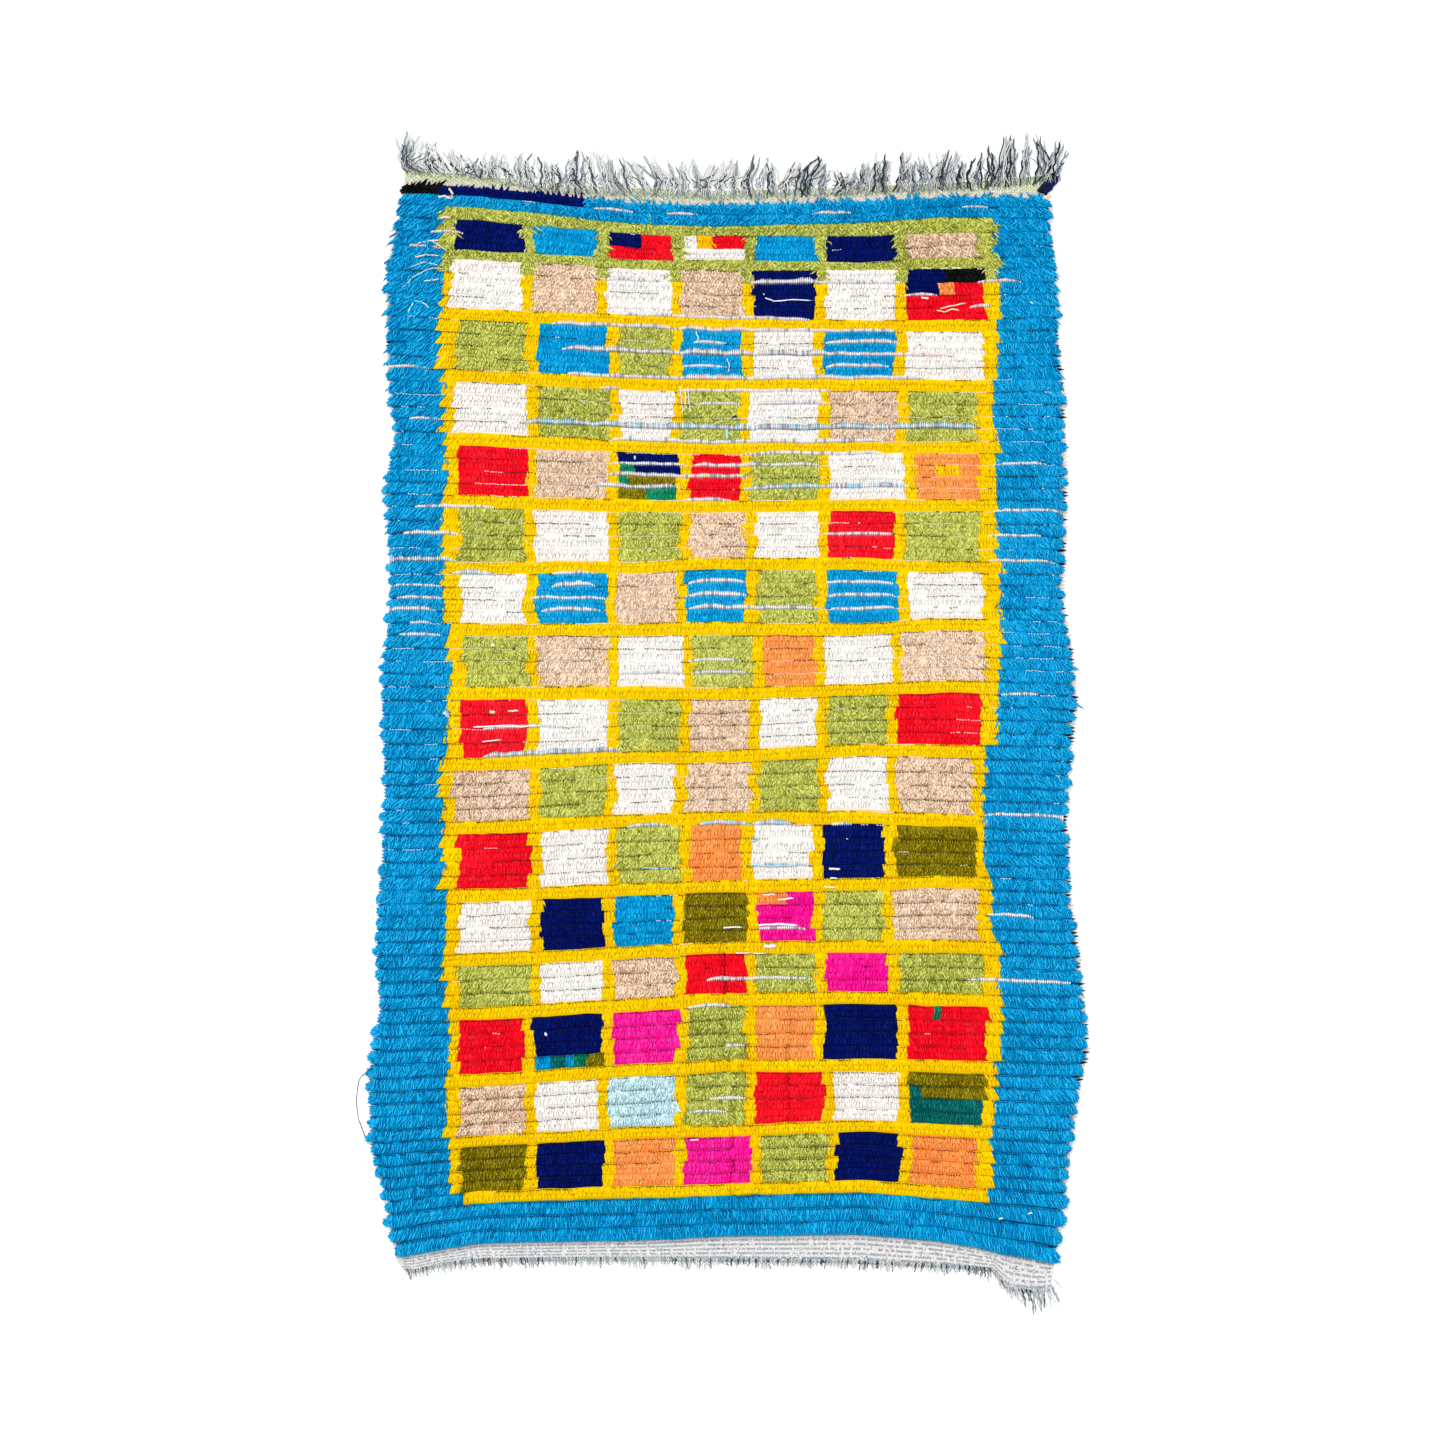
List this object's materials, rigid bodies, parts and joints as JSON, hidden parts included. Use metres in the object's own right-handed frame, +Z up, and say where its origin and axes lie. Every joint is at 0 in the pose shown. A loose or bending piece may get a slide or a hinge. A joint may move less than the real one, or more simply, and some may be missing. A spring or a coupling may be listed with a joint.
{
  "type": "boucherouite rug",
  "caption": "Flat rectangular rag rug with a shaggy knotted pile in rows, a lattice of coloured blocks inside a plain border, flat-woven ends and a short loose warp fringe",
  "frame": {"origin": "on the underside, at the middle of the rug's length and width", "axes": "+Y runs along the rug towards the head fringe, +X across it towards the right-hand edge as seen from above, +Z up out of the pile"},
  "size_m": [1.393, 2.2406, 0.0222],
  "materials": {
    "rug_body": "shaggy knotted pile of cut rag and yarn on a plain-woven ground",
    "head_fringe": "loose cotton and denim-blue warp ends",
    "foot_fringe": "cut and frayed cotton warp ends"
  },
  "bodies": {
    "root": {"rug_body": "rug_body", "head_fringe": "head_fringe", "foot_fringe": "foot_fringe"}
  },
  "joints": []
}
